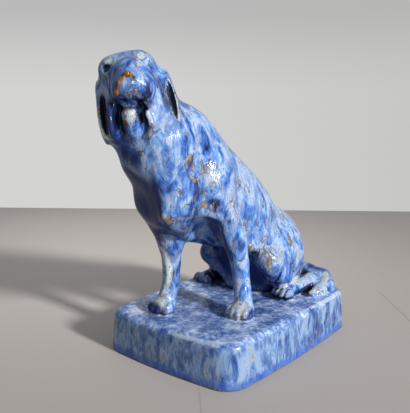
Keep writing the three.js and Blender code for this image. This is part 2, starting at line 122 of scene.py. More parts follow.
def plinth(p):
    x, y, z = p.T
    across_x = np.minimum(np.abs(x) / (PLINTH_WIDTH / 2), PLINTH_BOW_END)
    across_y = np.minimum(np.abs(y) / (PLINTH_LENGTH / 2), PLINTH_BOW_END)
    flare = (PLINTH_HEIGHT - z) * math.tan(PLINTH_DRAFT) - 1
    over_x = np.abs(x) - (PLINTH_WIDTH / 2 + PLINTH_BOW * (1 - across_y ** 2) - PLINTH_CORNER + flare)
    over_y = np.abs(y) - (PLINTH_LENGTH / 2 + PLINTH_BOW * (1 - across_x ** 2) - PLINTH_CORNER + flare)
    corner = np.hypot(np.maximum(over_x, 0), np.maximum(over_y, 0))
    side = corner + np.minimum(np.maximum(over_x, over_y), 0) - PLINTH_CORNER
    dish_x = np.maximum(1 - (x / (PLINTH_DISH_REACH * PLINTH_WIDTH)) ** 2, 0)
    dish_y = np.maximum(1 - (y / (PLINTH_DISH_REACH * PLINTH_LENGTH)) ** 2, 0)
    rise = PLINTH_RISE * (PLINTH_RISE_ASIDE * x + y)
    top = z - PLINTH_HEIGHT - rise + PLINTH_DISH * dish_x * dish_y
    a, b = side + PLINTH_RIM, top + PLINTH_RIM
    rim = np.hypot(np.maximum(a, 0), np.maximum(b, 0)) + np.minimum(np.maximum(a, b), 0)
    return rim - PLINTH_RIM


# The body: a deep chest with a flat right front, a narrow loin, the back falling steeply from withers
# to croup, a long neck with a dewlap, and the folded hindquarters filled in solid down to the plinth,
# as a mould needs it.
chest = egg([-5, -38, 122], [25, 53, 36.5], lean(50))
brisket = egg([-8, -59, 116], [22, 24, 21])
loin = egg([-2, 8, 94], [24, 52, 29], lean(46))
croup = egg([0, 43, 61], [28, 28, 33])
chest_flat = beyond([4.6, -82.5, 123], [-0.2, -0.97, -0.15])
keeled = carve(3, blend(15, chest, brisket, loin), chest_flat)
breastbone = egg([4.2, -75.4, 106], [3, 3.7, 5])
trunk = blend(12, blend(6, keeled, breastbone), croup)
nape = egg([-9, -58, 148], [21, 27, 28], lean(20))
crest = limb([-11, -64, 150], [-20, -77, 173], 20, 16.5)
throat = limb([-21, -81, 160], [-16, -77, 142], 14, 14)
dewlap = egg([-2, -74, 152], [14, 13, 16])
neck = blend(10, blend(8, nape, crest), throat, dewlap)
rear = egg([-6, 44, 40], [30, 25, 22])
base = egg([-4, 48, 30], [30, 26, 11])
lap = egg([-12, 33, 34], [15, 19, 13])
seat = blend(6, blend(8, rear, base), lap)

# The legs: straight forelegs set a little apart, folded hind legs, and feet that end in four round toes
# side by side with a short blunt nail on each. They are pressed onto the body in the soft clay.
TOES = 4
FORE_TOE_SPACING, HIND_TOE_SPACING = 4.6, 4.2
TOE_REACH, TOE_STAGGER = 4.4, 1.7
NAIL_SPREAD, NAIL_REACH, NAIL_DROP = 1.06, 0.8, 0.6
NAIL_RADII = [1.2, 1.5, 1.6]


def toes(foot, ahead, spacing, radii, height):
    forms = []
    for i in range(TOES):
        offset = i - (TOES - 1) / 2
        reach = TOE_REACH - TOE_STAGGER * abs(offset)
        x = foot[0] + ahead[1] * offset * spacing + ahead[0] * reach
        y = foot[1] - ahead[0] * offset * spacing + ahead[1] * reach
        pad = egg([x, y, height], radii)
        tip = reach + radii[1] * NAIL_REACH
        nail_x = foot[0] + ahead[1] * offset * spacing * NAIL_SPREAD + ahead[0] * tip
        nail_y = foot[1] - ahead[0] * offset * spacing * NAIL_SPREAD + ahead[1] * tip
        forms.append(blend(0.8, pad, egg([nail_x, nail_y, height - NAIL_DROP], NAIL_RADII)))
    return blend(0.6, *forms)


def hind_leg(left):
    knee = [23, 12, 61] if left else [-28.5, 11, 58.5]
    hip = [15, 43, 62] if left else [-17, 42, 62]
    hock = [34.5, 58, 36.4] if left else [-38, 57, 36]
    foot = [29.5, 26, 34] if left else [-43, 19, 32.4]
    thigh = egg([19.5, 36, 58], [14.5, 22.5, 24]) if left else egg([-20, 32, 57], [15, 25, 26])
    shin_end = [25, 28, 44] if left else [-36, 28, 42]
    length = math.hypot(foot[0] - hock[0], foot[1] - hock[1])
    ahead = ((foot[0] - hock[0]) / length, (foot[1] - hock[1]) / length)
    upper = blend(5, thigh, limb(hip, knee, 15, 9), limb(knee, shin_end, 9, 7.5))
    lower = blend(4, upper, limb(hock, foot, 7, 5.2))
    leg = blend(1.2, lower, toes(foot, ahead, HIND_TOE_SPACING, [2.9, 4.8, 4.2], foot[2] - 0.6))
    if not left:
        return leg
    flank_fold = chain(3, [[15, -2, 72], [17.5, 8, 77], [16, 20, 80]], [4, 5.5, 7])
    ham_crease = chain(1, [[24, 28, 39.5], [27.5, 38, 42.5], [30, 51, 45.5]], [1, 1.2, 1])
    return carve(2, blend(8, leg, flank_fold), ham_crease)


def fore_leg(left):
    foot = [27.5, -27, 34.5] if left else [-21, -54.5, 34.5]
    wrist = [22.6, -19.5, 48] if left else [-20.6, -46.5, 48]
    shin = [20.6, -20, 65] if left else [-19.8, -46.5, 64]
    elbow = [18, -22, 82] if left else [-19.8, -47, 80]
    shoulder = [11, -44, 116] if left else [-19, -58, 110]
    elbow_radius = 8 if left else 8.6
    heel = [foot[0], foot[1] + 3, foot[2] + 1]
    shank = chain(1.5, [heel, wrist, shin, elbow], [6.8, 6, 6.5, elbow_radius])
    upper = limb(elbow, shoulder, elbow_radius, 16)
    blade = egg([shoulder[0], shoulder[1] + 3, shoulder[2] + 10], [15, 19, 24])
    pad = egg([foot[0], foot[1], foot[2] - 1], [8.8, 8, 6])
    leg = blend(3, blend(8, blend(5, shank, upper), blade), pad)
    return blend(1.2, leg, toes(foot, (0, -1), FORE_TOE_SPACING, [3.1, 5.4, 4.8], 33))


# The tail: thick at the rump, it curls forward round the left hip and lies on the plinth, so that it
# is cast with it.
tail_route = [[6, 64, 40], [22, 68.5, 37], [37, 69, 36], [46, 60.5, 34.6], [47, 47, 33], [45.5, 38.5, 31.8]]
tail = chain(4, tail_route, [9.5, 8.5, 7, 5.4, 4.2, 3])

# The head, turned to the dog's left and lifted, in its own axes: side to the dog's left, forward to
# the nose, up to the crown. The face is modelled with a tool in the soft clay: sockets and lids, nose
# pad and nostrils, the cleft of the mouth, hanging flews, a chin and long folded ears.
HEAD_CENTRE = np.array([-22, -79, 186.5])
HEAD_TURN = [math.radians(a) for a in (37, 19, 12)]
JOWL_SWING, JOWL_TOP = 0.13, -10


def leaf(top, tip, width, thickness):
    high, low = np.array(top, float), np.array(tip, float)
    along = (high - low) / np.linalg.norm(high - low)
    side = np.array([1.0, 0, 0]) - along[0] * along
    side /= np.linalg.norm(side)
    half = np.linalg.norm(high - low) / 2 + thickness / 2
    return egg((high + low) / 2, [thickness / 2, width / 2, half], [side, np.cross(along, side), along])


def lean_aside(degrees):
    c, s = math.cos(math.radians(degrees)), math.sin(math.radians(degrees))
    return ((c, 0, s), (0, 1, 0), (-s, 0, c))


skull = egg([0, -2, 2.5], [19.5, 21, 18])
cheeks = both(egg([3, -1, -14], [18, 16, 20]))
muzzle = egg([2.6, 18, -7], [12.2, 15, 12.2])
right_lip = egg([-3.6, 21.2, -10], [6.6, 9, 7.6])
left_lip = egg([8.4, 20.2, -12], [6.8, 9, 8])
right_brow = egg([-9.2, 9, 11], [7.8, 7.6, 6.2])
left_brow = egg([8, 8.6, 11], [7.4, 7.4, 6])
bridge = limb([-0.5, 9, 10.5], [2.2, 22, 0.5], 6.5, 7)
dome = blend(8, blend(9, blend(8, skull, cheeks), muzzle), right_brow, left_brow)
lipped = blend(4, blend(5, dome, bridge), right_lip, left_lip)
sockets = [egg([-12.4, 16.2, 8], [3.2, 2.6, 2.2]), egg([12.8, 15.6, 8.2], [2.4, 1.2, 1.2])]
lids = [egg([-11, 13.8, 11], [4, 3.4, 3.2]), egg([10.6, 13.4, 11.6], [4, 3.2, 3])]
bags = [
    limb([-14.4, 13.2, 4.6], [-9.4, 17, 4.2], 1.2, 1.1),
    limb([9.6, 16.6, 4.6], [14.4, 12.8, 4.8], 1.1, 1.2),
]
lidded = blend(1.6, carve(1.8, blend(1.6, lipped, *lids), *sockets), *bags)
frowns = [limb([-3.2, 20.4, 8.2 - 3 * i], [5, 20.8 + i, 8 - 3 * i], 0.6, 0.6) for i in range(3)]
nose_pad = egg([0.6, 29.2, -10], [5.8, 4, 5.4])
nose_wings = chain(
    1, [[-6.8, 28.9, -13.4], [-4.2, 31.5, -8.8], [1.9, 33.4, -4.4], [6, 31, -9.2]], [1, 1.2, 1.2, 1])
nostrils = [
    limb([-5.6, 31, -13.6], [-4.4, 33.6, -11.4], 0.5, 0.7),
    limb([5.6, 32.4, -10.4], [4, 34, -9.6], 0.5, 0.7),
]
nose_cleft = limb([0.6, 34.6, -12], [1.4, 31, -18], 0.5, 0.6)
padded = blend(1.4, blend(2.5, carve(1, lidded, *frowns), nose_pad), nose_wings)
nosed = carve(0.8, padded, *nostrils, nose_cleft)
jowls = both(egg([12, 5, -21], [7.4, 11, 15]))
right_flew = egg([-12.4, 12.5, -23], [3, 8.5, 12.5])
left_flew = chain(
    1.2, [[9.2, 19.4, -18.4], [10, 17.4, -26], [12, 14, -32], [9.8, 12.4, -36.4]], [1.2, 1.3, 1.6, 1.4])
left_hollow = egg([6.6, 19.6, -27], [3.8, 9, 9.6])
right_hollow = egg([-7.6, 18, -25], [2.2, 6, 8.5])
chin = limb([-0.8, 10, -30.5], [-0.9, 17.6, -24], 5.6, 5.2)
mouth = chain(1, [[-10.2, 21.4, -16], [-3, 24.8, -20], [3.4, 25, -21.6], [10, 20, -21.8]], [2.2, 3, 3.1, 2.4])
cheek_folds = [
    chain(0.6, [[-15.8, 13.6, 6], [-15, 15.4, 0], [-14.4, 14.6, -6]], [0.5, 0.7, 0.5]),
    chain(0.6, [[-12.6, 17.4, 3.6], [-12.4, 18.4, -3], [-13.4, 17.4, -9]], [0.5, 0.7, 0.5]),
    chain(0.6, [[15.6, 13, 3], [16, 13.6, -6], [14.4, 13, -14]], [0.5, 0.8, 0.5]),
    chain(0.6, [[18.6, 9.6, 0], [19, 9.4, -8], [18, 9, -16]], [0.5, 0.8, 0.5]),
]
jowled = blend(3, blend(5, nosed, jowls), right_flew)
hollowed = blend(2, carve(2, jowled, left_hollow, right_hollow), left_flew)
face = carve(1.4, carve(1.6, blend(2, hollowed, chin), mouth), *cheek_folds)
left_ear = leaf([22.6, -5, 4], [25.4, 1.5, -33], 24, 6)
right_ear = leaf([-20.6, -5, 5], [-22, -1, -30.5], 24, 6)
ear_roots = both(egg([17, -4, 0], [5.5, 9, 9]))
ears = blend(4, ear_roots, blend(0.5, left_ear, right_ear))
left_slit = egg([23.6, 10, -17], [1.9, 6.5, 15.5], lean_aside(2))
right_slit = egg([-19, 11.5, -18.5], [2, 7.5, 14], lean_aside(-3))


def swung(form):
    def moved(p):
        return form(p + JOWL_SWING * np.maximum(JOWL_TOP - p[:, UP:], 0) * (1, 0, 0))
    return moved


face_and_ears = carve(1.5, blend(5, swung(face), ears), left_slit, right_slit)


def turn_about(axis, angle):
    return np.array(Matrix.Rotation(angle, 3, axis))


yaw, pitch, roll = HEAD_TURN
head_turn = turn_about("Z", yaw) @ turn_about("X", -pitch) @ turn_about("Y", -roll)
head_axes = np.stack([head_turn[:, SIDE], -head_turn[:, FORWARD], head_turn[:, UP]])


def head(p):
    return face_and_ears((p - HEAD_CENTRE) @ head_axes.T)


# The whole casting: trunk, neck and head pressed together, the throat creased and the armpit hollowed
# with a tool, then the legs, the seat and the tail, and all of it set on the plinth.
throat_creases = [
    limb([-12, -102, 156], [-1, -98, 159], 1, 1),
    limb([-9, -97, 147], [3, -91, 149], 1.2, 1),
]
body = carve(1.5, blend(6, blend(16, trunk, neck), head), *throat_creases)
legs = [hind_leg(True), hind_leg(False), fore_leg(True), fore_leg(False)]
armpit = chain(6, [[17, -57, 98], [12.5, -48, 92], [7, -42, 83], [0, -34, 76]], [4, 9, 10, 7])
limbed = carve(4, blend(5, blend(10, body, seat), *legs), armpit)
dog = blend(5, limbed, tail)
figurine = blend(2.5, dog, plinth)


def clay(p):
    return np.maximum(figurine(p), -p[:, UP])


# The cast skin: one point in each cell of a grid that the surface crosses, a quad across each crossed
# grid line, and the points then drawn onto the surface. The grid is finer at the face and the toes,
# and only blocks of it near the surface are worked out.
MILLIMETRE = 0.001
WIDEST_STEP, BLOCK, BATCH = 1.4, 8, 200000
SEARCH_SLACK, SEARCH_MARGIN = 1.3, 2
LEAST_STEEP, FURTHEST_PULL = 0.2, 0.5
FOOT_EDGE, UNDERSIDE_EDGE = 1.2, 0.35


def stepped(*stretches):
    marks = [np.arange(a, b - 1e-6, (b - a) / math.ceil((b - a) / step)) for a, b, step in stretches]
    return np.concatenate(marks + [[stretches[-1][1]]])


coarse = 1
lines = [
    stepped((-68, 68, 1.2 * coarse)),
    stepped((-115, -50, 1.0 * coarse), (-50, 90, 1.35 * coarse)),
    stepped(
        (-3, 27, WIDEST_STEP * coarse), (27, 42, 1.0 * coarse),
        (42, 148, 1.35 * coarse), (148, 214, 0.95 * coarse)),
]


def distances(corners):
    values = np.empty(len(corners))
    for start in range(0, len(corners), BATCH):
        part = corners[start:start + BATCH]
        values[start:start + BATCH] = clay(np.stack([lines[a][part[:, a]] for a in range(3)], 1))
    return values


def skin_of_clay():
    counts = np.array([len(line) for line in lines])
    blocks = -(-(counts - 1) // BLOCK)
    origins = np.stack(np.meshgrid(*[np.arange(b) for b in blocks], indexing="ij"), -1).reshape(-1, 3) * BLOCK
    middles = np.minimum(origins + BLOCK // 2, counts - 1)
    reach = BLOCK * WIDEST_STEP * coarse * math.sqrt(3) / 2 * SEARCH_SLACK + SEARCH_MARGIN
    origins = origins[np.abs(distances(middles)) < reach]
    steps = np.arange(BLOCK + 1)
    offsets = np.stack(np.meshgrid(steps, steps, steps, indexing="ij"), -1).reshape(-1, 3)
    corners = (origins[:, None] + offsets).reshape(-1, 3)
    corners = corners[(corners < counts).all(1)]
    known = np.zeros(counts, bool)
    known[tuple(corners.T)] = True
    corners = np.argwhere(known)
    value = np.full(counts, np.nan, np.float32)
    value[tuple(corners.T)] = distances(corners)
    return value


def eight_corners(value):
    nx, ny, nz = (n - 1 for n in value.shape)
    return [value[i:nx + i, j:ny + j, k:nz + k] for i in (0, 1) for j in (0, 1) for k in (0, 1)]


def crossings(value):
    inside = eight_corners(value < 0)
    known = np.logical_and.reduce(eight_corners(~np.isnan(value)))
    cells = np.argwhere(np.logical_or.reduce(inside) & ~np.logical_and.reduce(inside) & known)
    total = np.zeros((len(cells), 3))
    hits = np.zeros(len(cells))
    for axis in range(3):
        for corner in range(4):
            start = cells.copy()
            start[:, (axis + 1) % 3] += corner & 1
            start[:, (axis + 2) % 3] += corner >> 1
            end = start.copy()
            end[:, axis] += 1
            a, b = value[tuple(start.T)], value[tuple(end.T)]
            crossed = (a < 0) != (b < 0)
            share = np.where(crossed, a / np.where(crossed, a - b, 1), 0)
            point = np.stack([lines[n][start[:, n]] for n in range(3)], 1)
            point[:, axis] += share * (lines[axis][end[:, axis]] - lines[axis][start[:, axis]])
            total += point * crossed[:, None]
            hits += crossed
    return cells, total / hits[:, None]


def quads_across(value, cells):
    number = np.full(value.shape, -1)
    number[tuple(cells.T)] = np.arange(len(cells))
    quads = []
    for axis in range(3):
        end = cells.copy()
        end[:, axis] += 1
        starts_inside = value[tuple(cells.T)] < 0
        crossed = starts_inside != (value[tuple(end.T)] < 0)
        ring = []
        for back_one, back_two in ((0, 0), (1, 0), (1, 1), (0, 1)):
            cell = cells[crossed].copy()
            cell[:, (axis + 1) % 3] -= back_one
            cell[:, (axis + 2) % 3] -= back_two
            ring.append(number[tuple(cell.T)])
        ring = np.stack(ring, 1)
        outwards = starts_inside[crossed]
        ring[~outwards] = ring[~outwards][:, ::-1]
        quads.append(ring)
    return np.concatenate(quads)


def outer_shell(points, quads):
    ends = np.concatenate([quads[:, [0, 1]], quads[:, [1, 2]], quads[:, [2, 3]]])
    group = np.arange(len(points))
    while (group[ends[:, 0]] != group[ends[:, 1]]).any():
        first, second = group[ends[:, 0]], group[ends[:, 1]]
        lowest = np.minimum(first, second)
        np.minimum.at(group, first, lowest)
        np.minimum.at(group, second, lowest)
        group = group[group]
    outer = group[quads[:, 0]] == np.bincount(group[quads[:, 0]]).argmax()
    kept, numbers = np.unique(quads[outer], return_inverse=True)
    return points[kept], numbers.reshape(-1, 4)


def slope_of(form, p, reach):
    slope = np.empty_like(p)
    for axis in range(3):
        step = np.zeros(3)
        step[axis] = reach
        slope[:, axis] = form(p + step) - form(p - step)
    return slope / (2 * reach)


value = skin_of_clay()
cells, points = crossings(value)
points, quads = outer_shell(points, quads_across(value, cells))
for _ in range(2):
    slope = slope_of(figurine, points, 0.25)
    pull = figurine(points) / np.maximum((slope ** 2).sum(1), LEAST_STEEP)
    free = points[:, UP] > FOOT_EDGE
    points[free] -= (np.clip(pull, -FURTHEST_PULL, FURTHEST_PULL)[:, None] * slope)[free]
points[points[:, UP] < UNDERSIDE_EDGE, UP] = 0
slope = slope_of(figurine, points, 0.5)
normals = slope / np.maximum(np.linalg.norm(slope, axis=1), 1e-6)[:, None]
normals[points[:, UP] < 0.5] = (0, 0, -1)

casting_mesh = bpy.data.meshes.new("figurine_casting")
casting_mesh.from_pydata((points * MILLIMETRE).tolist(), [], quads.tolist())
casting_mesh.polygons.foreach_set("use_smooth", [True] * len(casting_mesh.polygons))
casting = bpy.data.objects.new("figurine_casting", casting_mesh)
bpy.context.collection.objects.link(casting)

# Where the glaze lies thick or thin: it pools in hollows, which are also painted dark as their shade, and
# runs thin over crests, edges and toes. Each such place is worked out on the skin and kept as an attribute of
# its points.
edges = np.array([e.vertices[:] for e in casting_mesh.edges])
heights = points[:, UP]


def smoothed(values, rounds):
    count = np.bincount(edges.ravel(), minlength=len(points))
    for _ in range(rounds):
        total = np.zeros_like(values)
        for n in range(values.shape[1]):
            total[:, n] = (np.bincount(edges[:, 0], values[edges[:, 1], n], len(points))
                           + np.bincount(edges[:, 1], values[edges[:, 0], n], len(points)))
        values = total / count[:, None]
    return values


def attribute(name, values):
    layer = casting_mesh.attributes.new(name, "FLOAT", "POINT")
    layer.data.foreach_set("value", np.asarray(values, np.float32))


def closed_in(reach):
    return np.clip(1 - figurine(points + reach * normals) / reach, 0, 1)


def patches(list_of_spots, along=1.5):
    most = np.zeros(len(points))
    for centre, radius in list_of_spots:
        off = (points - centre) / (radius, radius, radius * along)
        most = np.maximum(most, np.exp(-(off ** 2).sum(1)))
    return most


def rising(values, start, over):
    return np.clip((values - start) / over, 0, 1)


def falling(values, start, over):
    return np.clip((start - values) / over, 0, 1)


def near(form, width):
    return np.clip(1 - form(points) / width, 0, 1)


def near_on_head(form, width):
    return np.clip(1 - form((points - HEAD_CENTRE) @ head_axes.T) / width, 0, 1)


def in_head(spots):
    return [(HEAD_CENTRE + np.array(centre) @ head_axes, radius) for centre, radius in spots]


FAINTER_HOLLOW_SPOTS = [([-21, -62, 34], 10), ([27.5, -35, 34], 10), ([-7, -80, 201.5], 4.5)]
attribute("crest", ((points - smoothed(points, 6)) * normals).sum(1))
# The hollows are painted navy: partly glaze pooled in them, partly their painted shade, fainter at the feet
# and the left eye.
hollow_pooling_and_shade = np.maximum(closed_in(4), closed_in(9) * 0.85)
attribute("hollow", hollow_pooling_and_shade * (1 - 0.55 * patches(FAINTER_HOLLOW_SPOTS, 1)))

# Painted shade: the glaze is painted dark navy where shade falls, on faces turned down and away from the
# lamp, on the flat of the chest, between the legs, at the throat, on the right flew and at the root of the
# tail.
LIGHT_FROM = (0.92, -0.04, 0.38)
SHADE_BETWEEN_LEGS = [([10, -37, 85], 8), ([15, -22, 70], 6), ([-8, 10, 55], 16), ([10, 15, 45], 12)]
SHADE_AT_TAIL_ROOT = [([34, 67.5, 42], 5), ([28, 67, 44], 5), ([39, 67, 40], 5)]
SHADE_AT_THROAT = [([-15.8, -97.7, 152.6], 7), ([-14.5, -93.2, 147], 7), ([-8, -92, 142], 6)]
shade_facing_down = rising(-normals[:, UP], 0.12, 0.4) * falling(normals @ LIGHT_FROM, 0.15, 0.3)
shade_facing_down *= falling(heights, 150, 10) * rising(heights, 46, 8)
shade_on_flat = falling(np.abs(chest_flat(points)), 5.75, 5) * falling(points[:, SIDE], 6, 4)
shade_on_flat *= falling(heights, 150, 12)
painted_shade = np.max([
    shade_facing_down * 0.85, shade_on_flat * 0.85, patches(SHADE_BETWEEN_LEGS, 1.3), patches(SHADE_AT_TAIL_ROOT, 1) * 0.8,
    patches(SHADE_AT_THROAT) * 0.75, near_on_head(swung(right_flew), 1.5) * 0.75], 0)
attribute("painted_shade", painted_shade * (heights > PLINTH_HEIGHT))

# It is matt on the left cheek, darker on the muzzle and the neck, and paler on the flank. It is painted
# lighter on upward faces and darker on downward ones as light from above, and lighter on the right cheek and
# ear as painted fill light.
MATT_CHEEK = [([5, -85, 170], 6), ([7, -83.5, 163.5], 7), ([13, -74, 164], 6)]
DARKER_MUZZLE = in_head([([0, 30, -4], 6), ([5, 27, -13], 8), ([-4, 27, -13], 7)])
DARKER_NECK = [([15, -72, 153], 14)]
PALER_FLANK = [([28, 10, 80], 22), ([22, 0, 105], 20), ([25, 42, 65], 18)]
PAINTED_FILL_RIGHT_FACE = [([-28.5, -97, 182], 10), ([-29, -98, 193], 7), ([-30, -98, 170], 8)]
attribute("dull", patches(MATT_CHEEK, 1))
# Painted light: upward faces lighter and downward faces darker.
tone_and_painted_light = 0.055 * np.clip(normals[:, UP], -0.5, 0.7) - 0.075 * patches(DARKER_MUZZLE, 1)
tone_and_painted_light += 0.05 * patches(PALER_FLANK, 1.2)
# Painted fill light on the shaded right cheek and ear.
tone_and_painted_light += 0.1 * patches(PAINTED_FILL_RIGHT_FACE, 1.2)
tone_and_painted_light -= 0.035 * patches(DARKER_NECK, 1)
attribute("tone_and_painted_light", tone_and_painted_light)

# It broke to ochre in drops on the shoulder, flank, haunch and crown, hardly on the forelegs, and to
# orange over the nose wings and at two spots of the chin.
OCHRE_DROPS = [
    ([5, -99.5, 184], 2.6), ([1, -103, 183.4], 2.4), ([-7, -79.5, 202], 3.4), ([-6, -76, 201], 3),
    ([-9, -90, 201], 3), ([22, -26, 62], 4), ([18, -63.5, 131], 5.5), ([19.6, -58.8, 111], 4.6),
    ([24.4, -52.6, 111.5], 5), ([21, -23.3, 119], 4.4), ([26.4, -35, 109], 4), ([16.7, -69.7, 143], 4),
    ([4.5, -76, 103], 4), ([27, 4, 63], 6), ([18, -3, 75], 5), ([21, 5, 80], 5), ([31, 31, 72], 5),
    ([23, 30, 90], 5), ([20, 8, 104], 4), ([10, -20, 140], 4),
]
CHIN_ORANGE = [([-5.6, -100.8, 164.6], 2), ([-5.6, -101.8, 171.6], 1.2)]
on_forelegs = np.maximum(near(fore_leg(True), 3), near(fore_leg(False), 3)) * falling(heights, 95, 15)
attribute("tan", patches(OCHRE_DROPS) - 0.3 * on_forelegs)
head_side = ((points - HEAD_CENTRE) @ head_axes.T)[:, SIDE]
nose_orange = near_on_head(nose_wings, 1.1) * falling(head_side, 8, 3)
attribute("orange", np.maximum(nose_orange, patches(CHIN_ORANGE, 1)))

# It ran thin to cream on the chin, the brows, the rims of the ears and lips, the feet, a stripe down the
# right foreleg that is partly a painted glint, the ridges of the left hind shank and the tail, and the worn
# rim of the plinth.
CREAM_SPOTS = [
    ([-1.5, -99.2, 169.5], 3.6), ([-2, -100.5, 166], 3), ([-22.5, -96.4, 201.2], 2.4),
    ([-8.4, -84, 204.3], 3), ([4.6, -78.4, 106.5], 2.4), ([-22, -62, 35], 10), ([27.5, -35, 35], 10),
]
foreleg_ridge = chain(
    1, [[-20, -57, 44], [-17.5, -53.4, 52], [-16.5, -52.6, 62], [-19.5, -55, 72], [-23.5, -57, 80]],
    [1.6, 1.4, 1.4, 1.6, 1])
shank_ridge = chain(1, [[28, 16, 35], [30, 24, 39.5], [31.5, 36, 41], [34, 52, 43]], [1, 1, 1, 1])
tail_ridge = chain(1, [[45.5, 38, 34], [47.4, 48, 37.4], [46.5, 58, 40], [42, 66, 41]], [1, 1, 1, 1])
right_ear_edge = chain(
    1, [[-27.5, -101, 172], [-27, -102.5, 165.8], [-25.3, -103.2, 160], [-23.6, -101.9, 156],
        [-19.6, -101.5, 154.2]],
    [0.5, 0.7, 0.9, 1, 0.6])
worn_front = chain(
    1, [[6, -77, 28.2], [19, -77, 28.4], [32, -76, 28.8], [42, -74, 29.2], [48, -69, 29.2]],
    [1, 1, 1.4, 1.6, 1])
worn_left = chain(1, [[56, 8, 29.3], [57, 30, 29.3], [57, 50, 29.3], [55, 64, 29.2]], [0.6, 1, 1.4, 1])
ridges = np.max([near(ridge, 2.6) for ridge in (foreleg_ridge, shank_ridge, tail_ridge)], 0)
slit_rims = np.maximum(near_on_head(left_slit, 2.2), near_on_head(right_slit, 2.2))
attribute("cream", np.max([
    patches(CREAM_SPOTS, 1.2), near_on_head(swung(left_flew), 0.7) * 0.6,
    slit_rims * (near_on_head(ears, 1) > 0) * 0.75, ridges * 0.9,
    near(foreleg_ridge, 2.2) * 1.6, near(right_ear_edge, 1.8) * 1.6], 0))
attribute("rim", np.maximum(near(worn_front, 2), near(worn_left, 2)))
plinth_side = falling(heights, PLINTH_HEIGHT - 1.5, 2)
attribute("plinth_side", plinth_side)
attribute("plinth_top", np.clip(1 - np.abs(plinth(points)) / 1.2, 0, 1) * (1 - plinth_side))

# The glaze: a glossy blue that ran and mottled in the firing, from navy in the hollows (pooled glaze and
# painted shade) over cobalt to pale streaks and grey-lavender clouds, and broke to ochre, brown and cream
# over edges and in drops, with painted light and shade laid over it.
glaze = bpy.data.materials.new("mottled_blue_glaze")
glaze.use_nodes = True
tree = glaze.node_tree
tree.nodes.clear()


def node(kind, **settings):
    made = tree.nodes.new(kind)
    for name, value in settings.items():
        setattr(made, name, value)
    return made


def wire(source, target):
    tree.links.new(source, target)


def set_or_wire(socket, value):
    if isinstance(value, bpy.types.NodeSocket):
        wire(value, socket)
    else:
        socket.default_value = value


place = node("ShaderNodeTexCoord").outputs["Object"]


def stretched(sx, sy, sz, offset=(0, 0, 0)):
    made = node("ShaderNodeMapping")
    wire(place, made.inputs["Vector"])
    made.inputs["Location"].default_value = offset
    made.inputs["Scale"].default_value = (sx, sy, sz)
    return made.outputs["Vector"]


def noise(vector, scale, detail, rough=0.5, distortion=0.0):
    made = node("ShaderNodeTexNoise")
    wire(vector, made.inputs["Vector"])
    made.inputs["Scale"].default_value = scale
    made.inputs["Detail"].default_value = detail
    made.inputs["Roughness"].default_value = rough
    made.inputs["Distortion"].default_value = distortion
    return made.outputs["Fac"]


def ramp(value, *stops):
    made = node("ShaderNodeValToRGB")
    elements = made.color_ramp.elements
    while len(elements) < len(stops):
        elements.new(0.5)
    for element, (position, colour) in zip(elements, stops):
        element.position = position
        element.color = (*colour, 1)
    wire(value, made.inputs["Fac"])
    return made.outputs["Color"]


def reading(name):
    return node("ShaderNodeAttribute", attribute_name=name).outputs["Fac"]


def sums(operation, a, b=0.0):
    made = node("ShaderNodeMath", operation=operation)
    set_or_wire(made.inputs[0], a)
    set_or_wire(made.inputs[1], b)
    return made.outputs[0]


def plus(a, b):
    return sums("ADD", a, b)


def times(a, b):
    return sums("MULTIPLY", a, b)


def fade(value, low, high, to_low=0.0, to_high=1.0, kind="SMOOTHSTEP"):
    made = node("ShaderNodeMapRange", interpolation_type=kind)
    wire(value, made.inputs["Value"])
    made.inputs["From Min"].default_value = low
    made.inputs["From Max"].default_value = high
    made.inputs["To Min"].default_value = to_low
    made.inputs["To Max"].default_value = to_high
    return made.outputs["Result"]


def mixed(share, a, b):
    made = node("ShaderNodeMix", data_type="RGBA")
    set_or_wire(made.inputs["Factor"], share)
    set_or_wire(made.inputs["A"], a if isinstance(a, bpy.types.NodeSocket) else (*a, 1))
    set_or_wire(made.inputs["B"], b if isinstance(b, bpy.types.NodeSocket) else (*b, 1))
    return made.outputs["Result"]


NAVY = (0.006, 0.01, 0.035)
PAINTED_SHADE_NAVY = (0.009, 0.022, 0.12)
RING_BLUE = (0.03, 0.05, 0.13)
COBALT = (0.022, 0.055, 0.21)
AZURE = (0.055, 0.145, 0.44)
BRIGHT_AZURE = (0.14, 0.275, 0.55)
PALE_BLUE = (0.36, 0.46, 0.63)
WISP_PALE = (0.5, 0.6, 0.75)
LAVENDER = (0.25, 0.29, 0.4)
OCHRE = (0.21, 0.145, 0.055)
RUST = (0.26, 0.1, 0.02)
BROWN = (0.05, 0.032, 0.022)
CREAM = (0.47, 0.52, 0.49)
MILKY_GLINT = (0.74, 0.8, 0.8)
BARE_CLAY = (0.55, 0.42, 0.3)

# The blues: wandering clouds and streaks drawn out downwards, with dark rings and pale wisps in them.
flow = stretched(1, 1, 0.55)
wander = noise(flow, 78, 3, 0.5, 1.5)
streaks = noise(stretched(1, 1, 0.3), 260, 4, 0.6, 2.4)
clouds = noise(stretched(1, 1, 0.7, (0.3, 0.1, 0)), 105, 3, 0.5, 1.0)
wisps = noise(stretched(1, 1, 0.22, (0.4, 0, 0.2)), 120, 3, 0.5, 1.6)
tones = plus(plus(times(wander, 0.75), times(streaks, 0.25)), reading("tone_and_painted_light"))
blues = ramp(
    tones, (0.32, NAVY), (0.39, COBALT), (0.45, AZURE), (0.525, BRIGHT_AZURE), (0.595, PALE_BLUE),
    (0.68, LAVENDER))
blues = mixed(fade(clouds, 0.54, 0.62, 0, 0.55), blues, LAVENDER)
rings = sums("PINGPONG", plus(wander, times(streaks, 0.12)), 0.024)
ring_lines = times(fade(rings, 0.007, 0.0), fade(clouds, 0.38, 0.5))
blues = mixed(times(ring_lines, 0.6), blues, RING_BLUE)
wisp_lines = fade(sums("PINGPONG", wisps, 0.045), 0.005, 0.0, 0, 0.45)
blues = mixed(times(wisp_lines, fade(wander, 0.42, 0.52)), blues, WISP_PALE)

